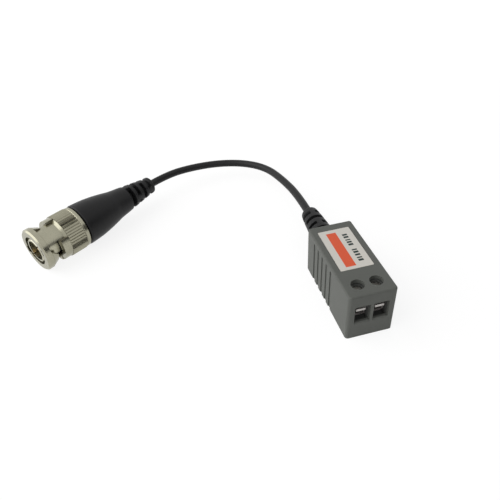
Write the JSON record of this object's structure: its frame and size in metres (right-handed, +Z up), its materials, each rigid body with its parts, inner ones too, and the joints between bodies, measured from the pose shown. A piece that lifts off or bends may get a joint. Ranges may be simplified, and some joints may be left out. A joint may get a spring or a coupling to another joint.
{
  "type": "passive video balun",
  "caption": "Small box with two screw terminals at one end and a short coaxial lead with a bayonet plug at the other, for video over twisted pair.",
  "frame": {"origin": "centre of the box's footprint on the surface it rests on", "axes": "+X to the right seen from the terminals, +Y from the terminals to the lead, +Z up"},
  "size_m": [0.0973, 0.093, 0.0148],
  "materials": {
    "box_plastic": "fine matt moulded grey",
    "cover_plastic": "fine matt moulded grey",
    "top_label": "satin printed film",
    "bottom_label": "satin printed film",
    "block_plastic": "matt grey moulding",
    "board_laminate": "green solder mask",
    "ferrite": "sintered dark grey",
    "copper_wire": "enamelled copper",
    "diode_body": "black moulding compound",
    "capacitor_body": "tan ceramic",
    "resistor_body": "black coating",
    "relief_rubber": "matt black moulding",
    "lead_jacket": "smooth satin black",
    "boot_plastic": "satin black moulding",
    "nickel_plate": "bright nickel plate",
    "insulator_plastic": "white, slightly glossy",
    "gold_plate": "gold plate",
    "gasket_rubber": "red silicone rubber",
    "spring_steel": "plain spring steel",
    "tin_plate": "tin plate",
    "cage_plate": "zinc plate",
    "screw_plate": "zinc plate"
  },
  "bodies": {
    "balun": {"housing": "box_plastic", "bottom_cover": "cover_plastic", "top_label": "top_label", "bottom_label": "bottom_label", "terminal_block": "block_plastic", "circuit_board": "board_laminate", "ferrite_core": "ferrite", "winding_left": "copper_wire", "winding_right": "copper_wire", "surge_diode": "diode_body", "filter_capacitor": "capacitor_body", "load_resistor": "resistor_body", "cable_relief": "relief_rubber", "lead_box_end": "lead_jacket", "lead": "lead_jacket", "plug_boot": "boot_plastic", "lead_plug_end": "lead_jacket", "crimp_ferrule": "nickel_plate", "plug_body": "nickel_plate", "contact_sleeve": "nickel_plate", "plug_insulator": "insulator_plastic", "centre_pin": "gold_plate", "plug_gasket": "gasket_rubber", "spring_washer": "spring_steel", "contact_bar_left": "tin_plate", "contact_bar_right": "tin_plate"},
    "screw_left": {"terminal_screw_left": "screw_plate"},
    "screw_right": {"terminal_screw_right": "screw_plate"},
    "cage_left": {"clamp_cage_left": "cage_plate"},
    "cage_right": {"clamp_cage_right": "cage_plate"},
    "thrust_washer": {"thrust_washer": "nickel_plate"},
    "coupling_nut": {"coupling_nut": "nickel_plate", "retaining_ring": "spring_steel"}
  },
  "joints": [
    {"name": "screw_turn_left", "type": "hinge", "parent": "balun", "child": "screw_left", "pos_m": [-0.00254, -0.0107, 0.0125], "axis": [0, 0, -1], "range_deg": [0, 1440]},
    {"name": "cage_lift_left", "type": "slide", "parent": "balun", "child": "cage_left", "axis": [0, 0, 1], "range_m": [0, 0.00179]},
    {"name": "screw_turn_right", "type": "hinge", "parent": "balun", "child": "screw_right", "pos_m": [0.00254, -0.0107, 0.0125], "axis": [0, 0, -1], "range_deg": [0, 1440]},
    {"name": "cage_lift_right", "type": "slide", "parent": "balun", "child": "cage_right", "axis": [0, 0, 1], "range_m": [0, 0.00179]},
    {"name": "nut_slide", "type": "slide", "parent": "balun", "child": "thrust_washer", "axis": [-0.8192, -0.5736, 0], "range_m": [0, 0.0005], "stiffness_N_per_m": 3000, "springref_m": -0.0008},
    {"name": "nut_turn", "type": "hinge", "parent": "thrust_washer", "child": "coupling_nut", "pos_m": [-0.0869, 0.04074, 0.0072], "axis": [-0.8192, -0.5736, 0], "continuous": true}
  ],
  "couplings": [
    {"joint": "screw_turn_left", "follows": "cage_lift_left", "rad_per_m": 13963},
    {"joint": "screw_turn_right", "follows": "cage_lift_right", "rad_per_m": 13963}
  ]
}
